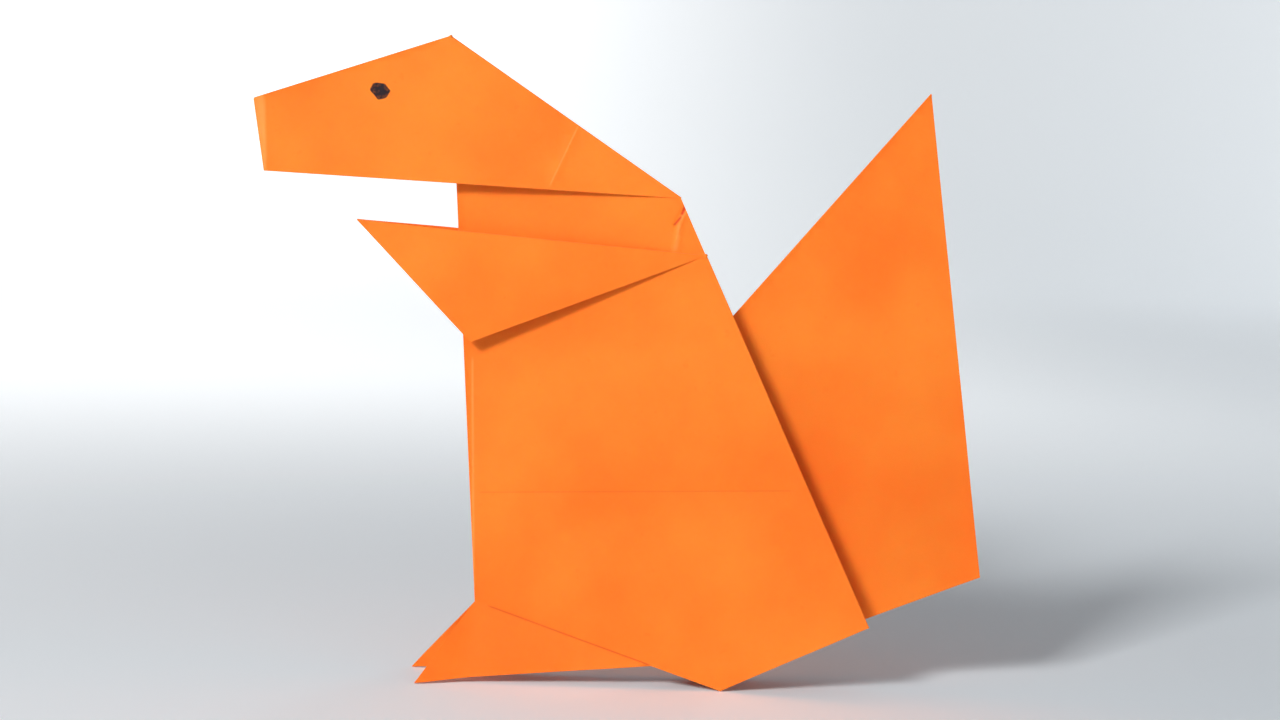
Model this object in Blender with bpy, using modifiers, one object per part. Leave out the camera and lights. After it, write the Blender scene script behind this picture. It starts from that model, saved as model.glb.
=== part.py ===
"""Origami squirrel: one square sheet of paper, folded flat and then splayed a little so that it stands.

The near half is drawn in side view, with X from snout to tail and Z up, and mirrored in the plane Y = 0.
The sheet is a stack of flat panels that meet at folds. A panel leans out from the fold at its spine, so
the depth of each of its corners follows from the corner's distance to that spine.
"""

import math

import bmesh
import bpy
from mathutils import Matrix, Vector

MM = 0.001
NAME = "folded_sheet"

# The paper.
PAPER = 0.25  # two layers of the sheet, pressed together
FOLD_ROUND = 1.1  # a fold's outer diameter, in paper thicknesses
FOLD_SIDES = 8
KNUCKLE_ROUND = 2.4  # the same where folds meet
STEP_BEHIND = 0.15  # how far a tucked panel lies behind the one that covers it

# The body, drawn from the keel, the corner that it stands on.
KEEL_LENGTH = 39.2  # keel to heel
KEEL_RISE = math.radians(17.2)
SEAT_LENGTH = 24.0  # keel to hip
SEAT_RISE = math.radians(27.1)
BELLY_LENGTH = 84.8  # heel to crest, up the spine of the body
BELLY_LEAN = math.radians(5.2)
BACK_LEAN = math.radians(26.5)
SPLAY = math.radians(7.5)  # each flank's lean out from the belly

# The head is the tip of the body's wedge, turned inside out over this crease.
CREASE_FALL = math.radians(32.2)
CROWN_LENGTH = 30.4  # crest to snout, along the head's spine
JAW_LENGTH = 61.6  # nape to snout, along the open edge
NECK_DROP = 9.3  # nape to the corner that the arm hangs from

# The arm, a corner of the sheet that hangs from the neck.
ARM_LENGTH = 52.0
ARM_RISE = math.radians(3.0)
ELBOW_LENGTH = 37.3
ELBOW_FALL = math.radians(23.0)
PAW_DEPTH = 3.8
ELBOW_DEPTH = 3.2

# The foot, a corner of the sheet that comes out below the keel edge.
FOOT_REACH = 8.9  # toe ahead of the heel
FOOT_LENGTH = 28.4  # along the keel edge
TOE_DEPTH = 4.5

# The tail, pleated in between the flanks.
RUMP_LENGTH = 19.4  # hip to rump
RUMP_RISE = math.radians(22.0)
TAIL_HEIGHT = 74.0  # rump to tip
TAIL_LEAN = math.radians(9.2)
TAIL_POINT = math.radians(48.1)
TAIL_SPINE = 59.6  # tip to root
TAIL_SPLAY = math.radians(1.8)

LIGHT_PAPER = (0.90, 0.26, 0.035, 1.0)
PAPER_ROUGHNESS = 0.75
WELD = 0.01 * MM


def step(start, length, bearing):
    """The point that lies a length away, along a bearing measured up from +X."""
    return start + length * Vector((math.cos(bearing), math.sin(bearing)))


def meet(a, bearing_a, b, bearing_b):
    """The point where the line through a meets the line through b."""
    along = Vector((math.cos(bearing_a), math.sin(bearing_a)))
    across = Vector((-math.sin(bearing_b), math.cos(bearing_b)))
    return a + along * ((b - a).dot(across) / along.dot(across))


def outline():
    """Every named corner of the folded sheet, in side view."""
    upright = math.pi / 2
    crease = -CREASE_FALL
    p = {"keel": Vector((0, 0))}
    p["heel"] = step(p["keel"], KEEL_LENGTH, math.pi - KEEL_RISE)
    p["hip"] = step(p["keel"], SEAT_LENGTH, SEAT_RISE)
    p["crest"] = step(p["heel"], BELLY_LENGTH, upright + BELLY_LEAN)
    p["nape"] = meet(p["crest"], crease, p["hip"], upright + BACK_LEAN)
    p["neck"] = step(p["nape"], NECK_DROP, BACK_LEAN - upright)

    crown = 2 * crease - (upright + BELLY_LEAN)  # the belly's spine, reflected in the crease
    jaw = 2 * crease - (upright + BACK_LEAN)  # the back's edge, reflected in the crease
    p["brow"] = step(p["crest"], CROWN_LENGTH, crown)
    p["chin"] = step(p["nape"], JAW_LENGTH, jaw)

    p["paw"] = step(p["neck"], ARM_LENGTH, math.pi - ARM_RISE)
    p["elbow"] = step(p["neck"], ELBOW_LENGTH, math.pi + ELBOW_FALL)

    p["toe"] = Vector((p["heel"].x - FOOT_REACH, p["keel"].y))
    p["instep"] = step(p["heel"], FOOT_LENGTH, -KEEL_RISE)

    p["rump"] = step(p["hip"], RUMP_LENGTH, RUMP_RISE)
    p["tip"] = step(p["rump"], TAIL_HEIGHT, upright + TAIL_LEAN)
    p["root"] = step(p["tip"], TAIL_SPINE, TAIL_LEAN - TAIL_POINT - upright)
    return p


def leaning(spine_a, spine_b, lean):
    """A function that gives a point's depth on the panel that leans out from a spine."""
    along = (spine_b - spine_a).normalized()
    return lambda point: abs((point - spine_a).cross(along)) * math.tan(lean)


def corner(point, depth):
    """A corner of the near half, in metres."""
    return Vector((point.x, -depth, point.y)) * MM


def collect(obj, group):
    """Puts a guide object in its collection and keeps it out of the model."""
    group.objects.link(obj)
    obj.hide_render = True
    obj.display_type = "WIRE"


def panel(name, corners, group):
    """One flat facet of the sheet: an open face with the paper's thickness."""
    mesh = bpy.data.meshes.new(name)
    bm = bmesh.new()
    bm.faces.new([bm.verts.new(c) for c in corners])
    bm.to_mesh(mesh)
    bm.free()
    obj = bpy.data.objects.new(name, mesh)
    solid = obj.modifiers.new("Paper", "SOLIDIFY")
    solid.thickness = PAPER * MM
    solid.offset = 0.0
    collect(obj, group)
    return obj


def fold(name, start, end, group):
    """The round outside of a fold, as a thin rod along its line."""
    radius = PAPER * FOLD_ROUND / 2 * MM
    span = end - start
    turn = span.to_track_quat("Z", "Y").to_matrix().to_4x4()
    mesh = bpy.data.meshes.new(name)
    bm = bmesh.new()
    bmesh.ops.create_cone(
        bm,
        cap_ends=True,
        segments=FOLD_SIDES,
        radius1=radius,
        radius2=radius,
        depth=span.length,
        matrix=Matrix.Translation((start + end) / 2) @ turn,
    )
    bm.to_mesh(mesh)
    bm.free()
    collect(bpy.data.objects.new(name, mesh), group)


def knuckle(name, centre, group):
    """The blunt point where several folds run together."""
    mesh = bpy.data.meshes.new(name)
    bm = bmesh.new()
    bmesh.ops.create_icosphere(
        bm,
        subdivisions=1,
        radius=PAPER * KNUCKLE_ROUND / 2 * MM,
        matrix=Matrix.Translation(centre),
    )
    bm.to_mesh(mesh)
    bm.free()
    collect(bpy.data.objects.new(name, mesh), group)


def near_half(group):
    """Lays out the near half of the sheet and returns the panel that the rest joins."""
    p = outline()
    flank_depth = leaning(p["heel"], p["crest"], SPLAY)
    head_depth = leaning(p["crest"], p["brow"], SPLAY)
    tail_depth = leaning(p["tip"], p["root"], TAIL_SPLAY)

    flank = {n: corner(p[n], flank_depth(p[n])) for n in ("heel", "keel", "hip", "neck", "nape", "crest")}
    head = {n: corner(p[n], head_depth(p[n])) for n in ("crest", "nape", "chin", "brow")}
    tail = {n: corner(p[n], tail_depth(p[n])) for n in ("tip", "rump", "hip", "root")}
    paw = corner(p["paw"], PAW_DEPTH)
    elbow = corner(p["elbow"], ELBOW_DEPTH)
    toe = corner(p["toe"], TOE_DEPTH)
    instep = corner(p["instep"], flank_depth(p["instep"]) - STEP_BEHIND)

    body = panel("flank", [flank[n] for n in ("heel", "keel", "hip", "nape", "crest")], group)
    panel("head", list(head.values()), group)
    panel("arm", [flank["neck"], paw, elbow], group)
    panel("foot", [flank["heel"], toe, instep], group)
    panel("tail", list(tail.values()), group)
    panel("pleat_outer", [flank["hip"], flank["neck"], tail["root"]], group)
    panel("pleat_inner", [flank["hip"], tail["root"], tail["hip"]], group)

    folds = {
        "belly_fold": (flank["heel"], flank["crest"]),
        "crown_fold": (head["crest"], head["brow"]),
        "head_crease": (head["crest"], head["nape"]),
        "snout_fold": (head["brow"], head["chin"]),
        "keel_fold": (flank["heel"], flank["keel"]),
        "back_fold": (flank["hip"], flank["neck"]),
        "pleat_fold": (flank["hip"], tail["root"]),
        "root_fold": (tail["root"], tail["hip"]),
        "tail_fold": (tail["root"], tail["tip"]),
    }
    for name, (start, end) in folds.items():
        fold(name, start, end, group)
    knuckles = {
        "root_knuckle": tail["root"],
        "crest_knuckle": head["crest"],
        "neck_knuckle": flank["neck"],
    }
    for name, centre in knuckles.items():
        knuckle(name, centre, group)
    group.objects.unlink(body)
    for guide in group.objects:
        guide.parent = body
    return body


def orange_paper():
    """The finish of the sheet."""
    material = bpy.data.materials.new("orange_paper")
    material.use_nodes = True
    shader = material.node_tree.nodes["Principled BSDF"]
    shader.inputs["Base Color"].default_value = LIGHT_PAPER
    shader.inputs["Roughness"].default_value = PAPER_ROUGHNESS
    shader.inputs["Metallic"].default_value = 0.0
    return material


def join(sheet, group):
    """Joins every panel and fold to the sheet, then mirrors the near half."""
    union = sheet.modifiers.new("Joined folds", "BOOLEAN")
    union.operation = "UNION"
    union.operand_type = "COLLECTION"
    union.collection = group
    mirror = sheet.modifiers.new("Far half", "MIRROR")
    mirror.use_axis = (False, True, False)
    mirror.use_bisect_axis = (False, True, False)
    mirror.use_bisect_flip_axis = (False, True, False)
    mirror.merge_threshold = WELD
    mirror.bisect_threshold = WELD


def seat(sheet):
    """Stands the sheet on Z = 0, with the middle of its box over the origin."""
    bpy.context.view_layer.update()
    mesh = sheet.evaluated_get(bpy.context.evaluated_depsgraph_get()).to_mesh()
    across = [v.co.x for v in mesh.vertices]
    sheet.location.x = -(min(across) + max(across)) / 2
    sheet.location.z = -min(v.co.z for v in mesh.vertices)


def main():
    for old in list(bpy.data.objects):
        bpy.data.objects.remove(old)
    model = bpy.data.collections.new("origami_squirrel")
    guides = bpy.data.collections.new("folding_guides")
    for group in (model, guides):
        bpy.context.scene.collection.children.link(group)

    sheet = near_half(guides)
    sheet.name = NAME
    sheet.data.name = NAME
    sheet.hide_render = False
    sheet.display_type = "TEXTURED"
    sheet.data.materials.append(orange_paper())
    model.objects.link(sheet)
    join(sheet, guides)
    seat(sheet)


main()
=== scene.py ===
"""Dresses the folded paper squirrel: orange craft paper, creases, ink eyes, pale floor and soft light."""

import math

import bmesh
import bpy
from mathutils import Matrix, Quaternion, Vector, noise


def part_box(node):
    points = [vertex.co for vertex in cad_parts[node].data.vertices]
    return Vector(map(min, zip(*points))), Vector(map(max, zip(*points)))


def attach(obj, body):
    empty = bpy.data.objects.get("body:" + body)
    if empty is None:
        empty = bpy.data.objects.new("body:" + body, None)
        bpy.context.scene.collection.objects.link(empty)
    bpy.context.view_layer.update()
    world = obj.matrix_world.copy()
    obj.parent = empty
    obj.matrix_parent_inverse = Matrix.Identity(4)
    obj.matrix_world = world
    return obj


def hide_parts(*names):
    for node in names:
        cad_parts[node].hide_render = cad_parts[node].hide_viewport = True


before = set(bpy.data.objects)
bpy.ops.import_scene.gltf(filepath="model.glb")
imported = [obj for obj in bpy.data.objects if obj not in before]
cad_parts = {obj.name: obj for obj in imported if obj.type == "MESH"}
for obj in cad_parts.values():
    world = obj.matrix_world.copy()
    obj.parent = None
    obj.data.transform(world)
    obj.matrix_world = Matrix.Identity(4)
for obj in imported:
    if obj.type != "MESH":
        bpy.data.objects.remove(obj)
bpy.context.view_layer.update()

SHEET = "folded_sheet"

# The photograph's view of the squirrel.
LENS = 85.0  # millimetres, like the sensor's width
SENSOR = 36.0
CAMERA_AZIMUTH = math.radians(-6.0)
CAMERA_HEIGHT = math.radians(5.5)
CAMERA_ROLL = math.radians(3.05)
FRAME_WIDTH = 0.1928  # what the photograph takes in at the squirrel
AIM = Vector((0.00275, 0.0, 0.0493))


def linear(red, green, blue):
    """A shader colour from an 8-bit sRGB one."""
    def channel(value):
        c = value / 255
        return c / 12.92 if c <= 0.04045 else ((c + 0.055) / 1.055) ** 2.4

    return (channel(red), channel(green), channel(blue), 1.0)


PAPER = linear(254, 133, 38)
PAPER_DEEP = linear(251, 114, 26)
# painted highlight: the pale orange on the snout's rolled front strip and along the ridges of creases
PAINTED_HIGHLIGHT = linear(255, 162, 82)
# painted shade: the deep red in the grooves of creases and the painted shadow below the body's edge over
# the foot
PAINTED_CREASE_SHADE = linear(206, 52, 8)
INK = linear(30, 16, 24)
FLOOR_LEFT = linear(236, 240, 243)
FLOOR_RIGHT = linear(196, 206, 213)
GLOW = (1.0, 1.0, 1.0, 1.0)
ROOM = (0.95, 0.97, 1.0, 1.0)

# Noise: its scale, in cells a metre, its detail and its roughness.
CLOUDS = (48.0, 3.0, 0.5)
FLECKS = (700.0, 1.0, 0.5)
FIBRES = (1500.0, 4.0, 0.65)
DIMPLES = (120.0, 2.0, 0.5)
EYE_WAVES = (1100.0, 2.0, 0.5)
INK_GRAIN = (1700.0, 1.0, 0.5)
FLOOR_PATCHES = (3.0, 2.0, 0.5)

# Ramps: the two values that each runs between, and what it gives at them.
CLOUD_SHARE = (0.25, 0.75, 0.0, 1.0)
FLECK_SHARE = (0.70, 0.80, 0.0, 0.35)
FIBRE_ROUGHNESS = (0.2, 0.8, 0.62, 0.78)
EYE_EDGE = (0.90, 1.04, 1.0, 0.0)
INK_COVER = (0.45, 0.75, 1.0, 0.88)
# painted highlight on the snout's rolled front strip
SNOUT_HIGHLIGHT_SHARE = (0.0, 0.0005, 0.0, 0.55)
FLOOR_SHADE = (-0.12, 0.40, 0.0, 1.0)
NEAR_GLOW = (0.08, 0.48, 0.0, 0.58)
FAR_GLOW = (0.6, 1.6, 0.0, 0.42)
SIDE_GLOW = (-0.10, 0.30, 1.0, 0.45)

# Bumps: the height, in metres, and the strength.
FIBRE_BUMP = (0.00004, 0.6)
DIMPLE_BUMP = (0.00025, 0.5)

PAPER_SETTINGS = {
    "Specular IOR Level": 0.20,
    "Sheen Weight": 0.06,
    "Subsurface Weight": 0.35,  # a little light comes through the paper
    "Subsurface Radius": (1.0, 0.20, 0.05),
    "Subsurface Scale": 0.0007,
}
FLOOR_ROUGHNESS = 0.9
FLOOR_UNEVEN = 0.1  # how far, in metres, the change from left to right wanders


class Shader:
    """A short way to lay out the nodes of a material or of the world."""

    def __init__(self, owner, output):
        owner.use_nodes = True
        self.owner = owner
        self.nodes = owner.node_tree.nodes
        self.links = owner.node_tree.links
        self.out = self.nodes[output]

    def put(self, socket, value):
        """Feeds a socket from another node, or sets it to a plain value."""
        if isinstance(value, bpy.types.NodeSocket):
            self.links.new(value, socket)
        else:
            socket.default_value = value

    def math(self, operation, *values):
        node = self.nodes.new("ShaderNodeMath")
        node.operation = operation
        for socket, value in zip(node.inputs, values):
            self.put(socket, value)
        return node.outputs[0]

    def place(self):
        """Where the shaded point lies on its object."""
        return self.nodes.new("ShaderNodeTexCoord").outputs["Object"]

    def split(self, vector):
        """X, Y and Z of a vector."""
        node = self.nodes.new("ShaderNodeSeparateXYZ")
        self.put(node.inputs[0], vector)
        return node.outputs["X"], node.outputs["Y"], node.outputs["Z"]

    def noise(self, where, scale, detail, roughness):
        node = self.nodes.new("ShaderNodeTexNoise")
        self.put(node.inputs["Vector"], where)
        node.inputs["Scale"].default_value = scale
        node.inputs["Detail"].default_value = detail
        node.inputs["Roughness"].default_value = roughness
        return node.outputs["Fac"]

    def ramp(self, value, low, high, to_low, to_high):
        """Runs smoothly from to_low to to_high while the value goes from low to high."""
        node = self.nodes.new("ShaderNodeMapRange")
        node.interpolation_type = "SMOOTHSTEP"
        self.put(node.inputs["Value"], value)
        self.put(node.inputs["From Min"], low)
        self.put(node.inputs["From Max"], high)
        self.put(node.inputs["To Min"], to_low)
        self.put(node.inputs["To Max"], to_high)
        return node.outputs["Result"]

    def mix(self, share, first, second):
        node = self.nodes.new("ShaderNodeMix")
        node.data_type = "RGBA"
        self.put(node.inputs["Factor"], share)
        self.put(node.inputs[6], first)
        self.put(node.inputs[7], second)
        return node.outputs[2]

    def bump(self, height, distance, strength, normal=None):
        node = self.nodes.new("ShaderNodeBump")
        self.put(node.inputs["Height"], height)
        node.inputs["Distance"].default_value = distance
        node.inputs["Strength"].default_value = strength
        if normal is not None:
            self.put(node.inputs["Normal"], normal)
        return node.outputs["Normal"]

    def seen(self):
        """1 where the camera looks, straight or by way of gloss or glass, and 0 for other light."""
        rays = self.nodes.new("ShaderNodeLightPath").outputs
        indirect = self.math("ADD", rays["Is Glossy Ray"], rays["Is Transmission Ray"])
        return self.math("MINIMUM", self.math("ADD", rays["Is Camera Ray"], indirect), 1.0)


def principled(name):
    return Shader(bpy.data.materials.new(name), "Principled BSDF")


# Places on the sheet are given in side view: X and Z, in metres.
EYE = Vector((-0.0380, 0.0876))
EYE_SIDES = (  # each side of the inked outline: the way it faces, in degrees, and its distance
    (220, 0.00112),
    (288, 0.00122),
    (335, 0.00135),
    (42, 0.00130),
    (92, 0.00125),
    (155, 0.00155),
)
EYE_ROUNDING = 0.35
EYE_WOBBLE = 0.22  # the waves in its outline, as a share of the distance

SNOUT_TOP = Vector((-0.0549, 0.0865))  # a painted highlight lies ahead of the line from here
SNOUT_END = Vector((-0.0540, 0.0758))

CREASE_FADE = 0.0012  # the length over which a crease fades out at each end
CREASE_LINE = 0.00022  # how far its painted highlight or painted shade reaches on each side


def sideways(along):
    """The direction in side view that is square to another."""
    return Vector((along.y, -along.x))


class Crease:
    """A pressed line on the sheet, with a ridge that stands proud of it or a groove that sinks in, and a
    painted highlight or painted shade along it.
    """

    def __init__(self, start, end, half_width, proud, tint, line_width=CREASE_LINE):
        self.start, self.end = Vector(start), Vector(end)
        self.half_width, self.proud = half_width, proud
        self.tint, self.line_width = tint, line_width
        self.length = (self.end - self.start).length
        self.along = (self.end - self.start) / self.length
        self.across = sideways(self.along)
        self.fade = min(CREASE_FADE, self.length / 4)

    def height(self, point):
        """How far the crease lifts the paper at a point in side view."""
        offset = point - self.start
        travelled = offset.dot(self.along)
        beside = abs(offset.cross(self.along))
        ends = min(travelled, self.length - travelled) / self.fade
        return self.proud * max(0.0, 1 - beside / self.half_width) * min(1.0, max(0.0, ends))


# Pressed lines with a painted highlight along their ridges.
CREASES_PAINTED_HIGHLIGHT = (
    Crease((-0.0083, 0.0846), (-0.0126, 0.0746), 0.00045, 0.00016, 0.45),  # across the back of the head
    Crease((-0.0225, 0.0490), (-0.0206, 0.0130), 0.00055, 0.00010, 0.50, 0.00030),  # beside the belly fold
    Crease((0.0081, 0.0727), (0.0071, 0.0705), 0.00060, 0.00022, 0.50, 0.00035),  # crumple at the nape
    Crease((0.0072, 0.0712), (0.0066, 0.0657), 0.00070, 0.00030, 0.36, 0.00055),  # the same, lower down
    Crease((-0.0550, 0.0862), (-0.0543, 0.0760), 0.00080, 0.00012, 0.30, 0.00040),  # beside the snout
)
# Pressed lines with painted shade along them.
CREASES_PAINTED_SHADE = (
    Crease((-0.0210, 0.0283), (0.0266, 0.0312), 0.00030, -0.00005, 0.22),  # across the body
    Crease((-0.0187, 0.0112), (0.0069, 0.0033), 0.00030, 0.0, 0.55),  # painted shadow where the body covers the foot
    Crease((0.0079, 0.0731), (0.0073, 0.0714), 0.00060, -0.00028, 0.95, 0.00036),  # crumple at the nape
    Crease((0.0075, 0.0716), (0.0062, 0.0698), 0.00060, -0.00028, 0.90, 0.00030),  # the same, lower down
)
CREASES = CREASES_PAINTED_HIGHLIGHT + CREASES_PAINTED_SHADE


def outward(sh, y):
    """1 on the faces that point away from the middle of the squirrel, 0 on the others."""
    normal = sh.nodes.new("ShaderNodeNewGeometry").outputs["Normal"]
    _, normal_y, _ = sh.split(normal)
    return sh.math("GREATER_THAN", sh.math("MULTIPLY", normal_y, y), 0.0)


def from_line(sh, x, z, start, across):
    """How far a point lies from a line, towards one side of it."""
    dx = sh.math("MULTIPLY", sh.math("SUBTRACT", x, start.x), across.x)
    dz = sh.math("MULTIPLY", sh.math("SUBTRACT", z, start.y), across.y)
    return sh.math("ADD", dx, dz)


def around_zero(sh, value, strength):
    """Noise, which runs from 0 to 1, moved to lie around zero and scaled."""
    return sh.math("MULTIPLY", sh.math("SUBTRACT", value, 0.5), strength)


def eye_mask(sh, where, x, z):
    """A hand-drawn ink dot with an uneven outline."""
    reach = 0.0
    for facing, distance in EYE_SIDES:
        facing = math.radians(facing)
        across = Vector((math.cos(facing), math.sin(facing))) / distance
        reach = sh.math("SMOOTH_MAX", from_line(sh, x, z, EYE, across), reach, EYE_ROUNDING)
    wobble = around_zero(sh, sh.noise(where, *EYE_WAVES), EYE_WOBBLE)
    edge = sh.ramp(sh.math("ADD", reach, wobble), *EYE_EDGE)
    thin_ink = sh.ramp(sh.noise(where, *INK_GRAIN), *INK_COVER)
    return sh.math("MULTIPLY", edge, thin_ink)


def crease_painted_light_mask(sh, x, z, crease):
    """The crease's painted highlight or painted shade on its line, falling to 0 beside it and past its
    ends.
    """
    along = from_line(sh, x, z, crease.start, crease.along)
    across = from_line(sh, x, z, crease.start, crease.across)
    near = sh.ramp(sh.math("ABSOLUTE", across), 0.0, crease.line_width, crease.tint, 0.0)
    begins = sh.ramp(along, 0.0, crease.fade, 0.0, 1.0)
    ends = sh.ramp(along, crease.length - crease.fade, crease.length, 1.0, 0.0)
    return sh.math("MULTIPLY", near, sh.math("MULTIPLY", begins, ends))


def strongest_crease_painted_light(sh, x, z, creases):
    """The painted highlight or painted shade of whichever crease is the strongest at a point."""
    first, *others = [crease_painted_light_mask(sh, x, z, crease) for crease in creases]
    for mask in others:
        first = sh.math("MAXIMUM", first, mask)
    return first


def snout_highlight_mask(sh, x, z):
    """The strip along the front of the head, where a painted highlight lies on the rolled edge of the
    paper.
    """
    along = (SNOUT_END - SNOUT_TOP).normalized()
    return sh.ramp(from_line(sh, x, z, SNOUT_TOP, sideways(along)), *SNOUT_HIGHLIGHT_SHARE)


def paper_colour(sh, where):
    """Soft clouds and flecks of two oranges, with painted highlights on the snout and the crease ridges,
    painted shade in the creases, and the ink over them.
    """
    x, y, z = sh.split(where)
    outside = outward(sh, y)
    colour = sh.mix(sh.ramp(sh.noise(where, *CLOUDS), *CLOUD_SHARE), PAPER_DEEP, PAPER)
    colour = sh.mix(sh.ramp(sh.noise(where, *FLECKS), *FLECK_SHARE), colour, PAPER_DEEP)
    marks = (
        # painted highlights and painted shade first, then the ink
        (snout_highlight_mask(sh, x, z), PAINTED_HIGHLIGHT),
        (strongest_crease_painted_light(sh, x, z, CREASES_PAINTED_HIGHLIGHT), PAINTED_HIGHLIGHT),
        (strongest_crease_painted_light(sh, x, z, CREASES_PAINTED_SHADE), PAINTED_CREASE_SHADE),
        (eye_mask(sh, where, x, z), INK),
    )
    for mask, tone in marks:
        colour = sh.mix(sh.math("MULTIPLY", mask, outside), colour, tone)
    return colour


def paper_material():
    """Matt orange paper with fine fibres and shallow dimples."""
    sh = principled("orange_paper")
    where = sh.place()
    fibre = sh.noise(where, *FIBRES)
    sh.put(sh.out.inputs["Base Color"], paper_colour(sh, where))
    sh.put(sh.out.inputs["Roughness"], sh.ramp(fibre, *FIBRE_ROUGHNESS))
    for name, value in PAPER_SETTINGS.items():
        sh.out.inputs[name].default_value = value
    normal = sh.bump(fibre, *FIBRE_BUMP)
    normal = sh.bump(sh.noise(where, *DIMPLES), *DIMPLE_BUMP, normal)
    sh.put(sh.out.inputs["Normal"], normal)
    return sh.owner


def floor_material():
    """Pale paper with painted light: its colour darkens towards the right, away from the lamp, and a glow
    that shows only to the camera and in gloss makes it brighter further off and on the lamp's side.
    """
    sh = principled("pale_floor")
    where = sh.place()
    x, y, _ = sh.split(where)
    uneven = around_zero(sh, sh.noise(where, *FLOOR_PATCHES), FLOOR_UNEVEN)
    # painted shade: the floor's colour darkens towards the right, away from the lamp
    right = sh.ramp(sh.math("ADD", x, uneven), *FLOOR_SHADE)
    sh.put(sh.out.inputs["Base Color"], sh.mix(right, FLOOR_LEFT, FLOOR_RIGHT))
    sh.out.inputs["Roughness"].default_value = FLOOR_ROUGHNESS
    # painted light: a glow, brighter further off and on the lamp's side, that lights nothing else
    away = sh.math("SQRT", sh.math("ADD", sh.math("MULTIPLY", x, x), sh.math("MULTIPLY", y, y)))
    far = sh.math("ADD", sh.ramp(away, *NEAR_GLOW), sh.ramp(away, *FAR_GLOW))
    glow = sh.math("MULTIPLY", far, sh.ramp(x, *SIDE_GLOW))
    sh.out.inputs["Emission Color"].default_value = GLOW
    sh.put(sh.out.inputs["Emission Strength"], sh.math("MULTIPLY", sh.seen(), glow))
    return sh.owner


FLOOR_FRONT = -2.0
FLOOR_BACK = 0.9  # where the floor starts to curve up
SWEEP_RADIUS = 0.7
SWEEP_STEPS = 16
BACKDROP_TOP = 3.0
STAGE_HALF_WIDTH = 3.0


def make_stage():
    """A pale floor that runs up into a backdrop."""
    profile = [(FLOOR_FRONT, 0.0), (FLOOR_BACK, 0.0)]
    for i in range(1, SWEEP_STEPS + 1):
        turn = math.pi / 2 * i / SWEEP_STEPS
        rise = SWEEP_RADIUS - SWEEP_RADIUS * math.cos(turn)
        profile.append((FLOOR_BACK + SWEEP_RADIUS * math.sin(turn), rise))
    profile.append((FLOOR_BACK + SWEEP_RADIUS, BACKDROP_TOP))
    verts = [(side * STAGE_HALF_WIDTH, y, z) for y, z in profile for side in (-1, 1)]
    faces = [(2 * i, 2 * i + 1, 2 * i + 3, 2 * i + 2) for i in range(len(profile) - 1)]
    mesh = bpy.data.meshes.new("stage")
    mesh.from_pydata(verts, [], faces)
    mesh.shade_smooth()
    stage = bpy.data.objects.new("stage", mesh)
    stage.data.materials.append(floor_material())
    bpy.context.scene.collection.objects.link(stage)


LAMPS = (  # name, place, width and power
    ("key", (-0.58, -0.86, 0.58), 0.24, 12.0),
    ("fill", (0.4, -1.0, 0.30), 0.8, 0.6),
    ("back", (1.05, 1.35, 0.17), 0.3, 11.0),  # low, so that it leaves the floor's shadow
)
LAMP_TARGET = Vector((0.0, 0.0, 0.05))
ROOM_LIGHT = 0.26
ROOM_SHOWN = 0.95  # its brightness where the camera looks past the stage


def lamp(name, place, width, power):
    """A square lamp that faces the squirrel."""
    light = bpy.data.lights.new(name, "AREA")
    light.size = width
    light.energy = power
    obj = bpy.data.objects.new(name, light)
    obj.location = place
    obj.rotation_mode = "QUATERNION"
    obj.rotation_quaternion = (LAMP_TARGET - obj.location).to_track_quat("-Z", "Y")
    bpy.context.scene.collection.objects.link(obj)


def make_light():
    """The lamps, and a room that lights the squirrel less than it shows."""
    for settings in LAMPS:
        lamp(*settings)
    room = Shader(bpy.data.worlds.new("soft_room"), "Background")
    room.out.inputs["Color"].default_value = ROOM
    shown = room.math("MULTIPLY", room.seen(), ROOM_SHOWN - ROOM_LIGHT)
    room.put(room.out.inputs["Strength"], room.math("ADD", shown, ROOM_LIGHT))
    bpy.context.scene.world = room.owner


def make_camera():
    """The photograph's camera, rolled as the photograph is."""
    data = bpy.data.cameras.new("camera")
    data.lens = LENS
    data.sensor_width = SENSOR
    camera = bpy.data.objects.new("camera", data)
    distance = FRAME_WIDTH * LENS / SENSOR
    level = math.cos(CAMERA_HEIGHT)
    back = Vector((
        math.sin(CAMERA_AZIMUTH) * level,
        -math.cos(CAMERA_AZIMUTH) * level,
        math.sin(CAMERA_HEIGHT),
    ))
    camera.location = AIM + back * distance
    camera.rotation_mode = "QUATERNION"
    look = (-back).to_track_quat("-Z", "Y")
    camera.rotation_quaternion = look @ Quaternion((0.0, 0.0, 1.0), CAMERA_ROLL)
    bpy.context.scene.collection.objects.link(camera)
    bpy.context.scene.camera = camera


GRID = 0.0018  # spacing of the cuts that let the panels bow
BOW = 0.00045  # how far a panel bows out of its plane
BOW_SPAN = 0.022
RIPPLE = 0.00008
RIPPLE_SPAN = 0.006
SPINE_GRIP = 0.0015  # within this of the middle the sheet keeps to its folds
SHARP = math.radians(20.0)
WELD = 1e-7

ARM_ROOT_X = -0.0235  # the arms leave the body here, and their paws close towards each other
PAW_X = -0.0406
ARM_TOP_Z = 0.0715
PAW_CLOSE = 0.0026
HEEL_X = -0.0203  # the feet leave the body here, and their toes spread
TOE_X = -0.0292
FOOT_TOP_Z = 0.0117
TOE_SPREAD = 0.0018


def eased(value, start, end):
    """0 at start, 1 at end, and smooth between them."""
    share = min(1.0, max(0.0, (value - start) / (end - start)))
    return share * share * (3 - 2 * share)


def swing(x, z):
    """How far the toes spread and the paws close, away from the middle of the squirrel."""
    if z < FOOT_TOP_Z:
        return TOE_SPREAD * eased(x, HEEL_X, TOE_X)
    if z < ARM_TOP_Z:
        return -PAW_CLOSE * eased(x, ARM_ROOT_X, PAW_X)
    return 0.0


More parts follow.
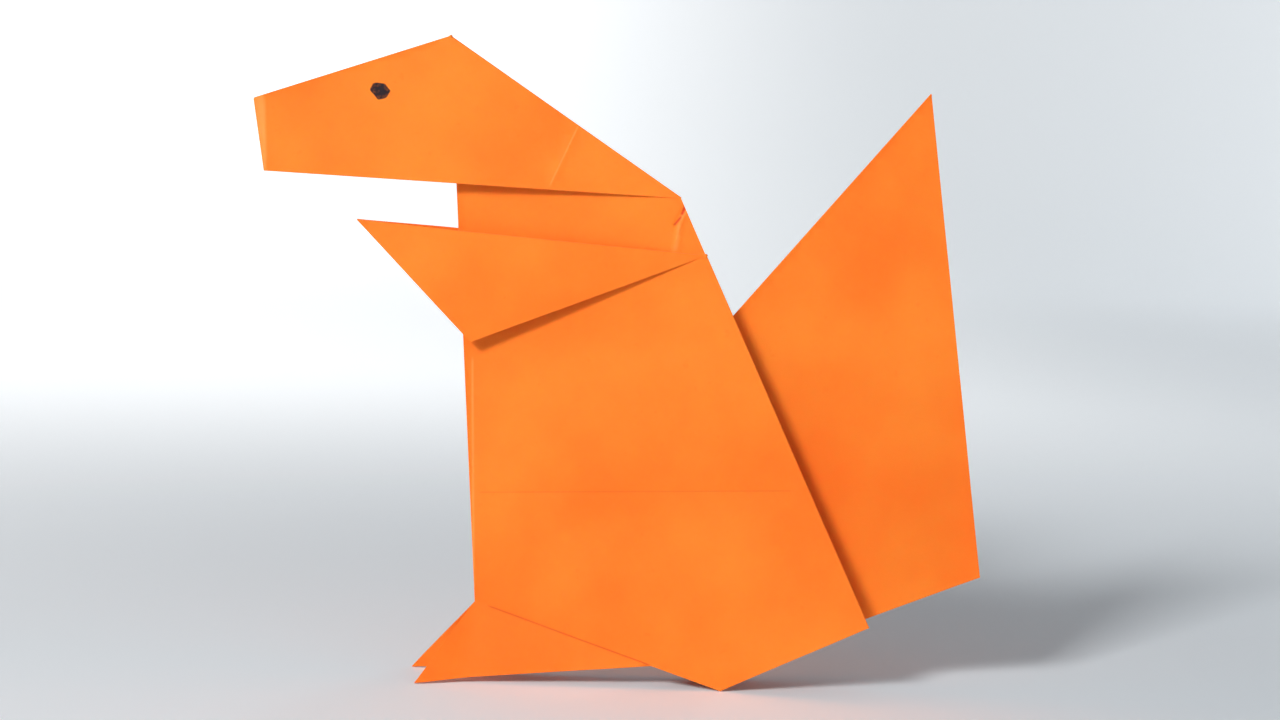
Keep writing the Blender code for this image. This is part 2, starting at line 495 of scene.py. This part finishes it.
def bow(x, y, z):
    """How far the paper moves along Y at a point, nearly alike for every layer of one half."""
    side = math.copysign(1.0, y)
    grip = min(1.0, abs(y) / SPINE_GRIP)
    wide = noise.noise(Vector((x, side * BOW_SPAN, z)) / BOW_SPAN)
    fine = noise.noise(Vector((x, side * RIPPLE_SPAN, z)) / RIPPLE_SPAN)
    ridges = sum(crease.height(Vector((x, z))) for crease in CREASES)
    return grip * (BOW * wide + RIPPLE * fine + side * (ridges + swing(x, z)))


def cut(bm, place, normal):
    """Cuts every face along a plane, so that the sheet can bend there."""
    geometry = [*bm.verts, *bm.edges, *bm.faces]
    bmesh.ops.bisect_plane(bm, geom=geometry, dist=WELD, plane_co=place, plane_no=normal)


def bend_lines(low, high):
    """Every plane that the sheet is cut along: a grid, and three for each crease."""
    for axis in (0, 2):
        normal = Vector([float(i == axis) for i in range(3)])
        count = int((high[axis] - low[axis]) / GRID)
        for i in range(1, count + 1):
            yield normal * (low[axis] + i * GRID), normal
    for crease in CREASES:
        across = Vector((crease.across.x, 0.0, crease.across.y))
        start = Vector((crease.start.x, 0.0, crease.start.y))
        for share in (-1, 0, 1):
            yield start + across * share * crease.half_width, across


def make_sheet():
    """The folded sheet with panels that bow a little and creases pressed into them."""
    bm = bmesh.new()
    bm.from_mesh(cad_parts[SHEET].data)
    bmesh.ops.remove_doubles(bm, verts=bm.verts, dist=WELD)
    low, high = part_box(SHEET)
    for place, normal in bend_lines(low, high):
        cut(bm, place, normal)
    for vert in bm.verts:
        vert.co.y += bow(*vert.co)
    bmesh.ops.triangulate(bm, faces=bm.faces)
    mesh = bpy.data.meshes.new("paper_sheet")
    bm.to_mesh(mesh)
    bm.free()
    mesh.shade_smooth()
    mesh.set_sharp_from_angle(angle=SHARP)
    sheet = bpy.data.objects.new("paper_sheet", mesh)
    sheet.data.materials.append(paper_material())
    bpy.context.scene.collection.objects.link(sheet)
    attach(sheet, "root")
    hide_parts(SHEET)


make_camera()
make_stage()
make_light()
make_sheet()
bpy.context.scene.view_settings.view_transform = "Standard"
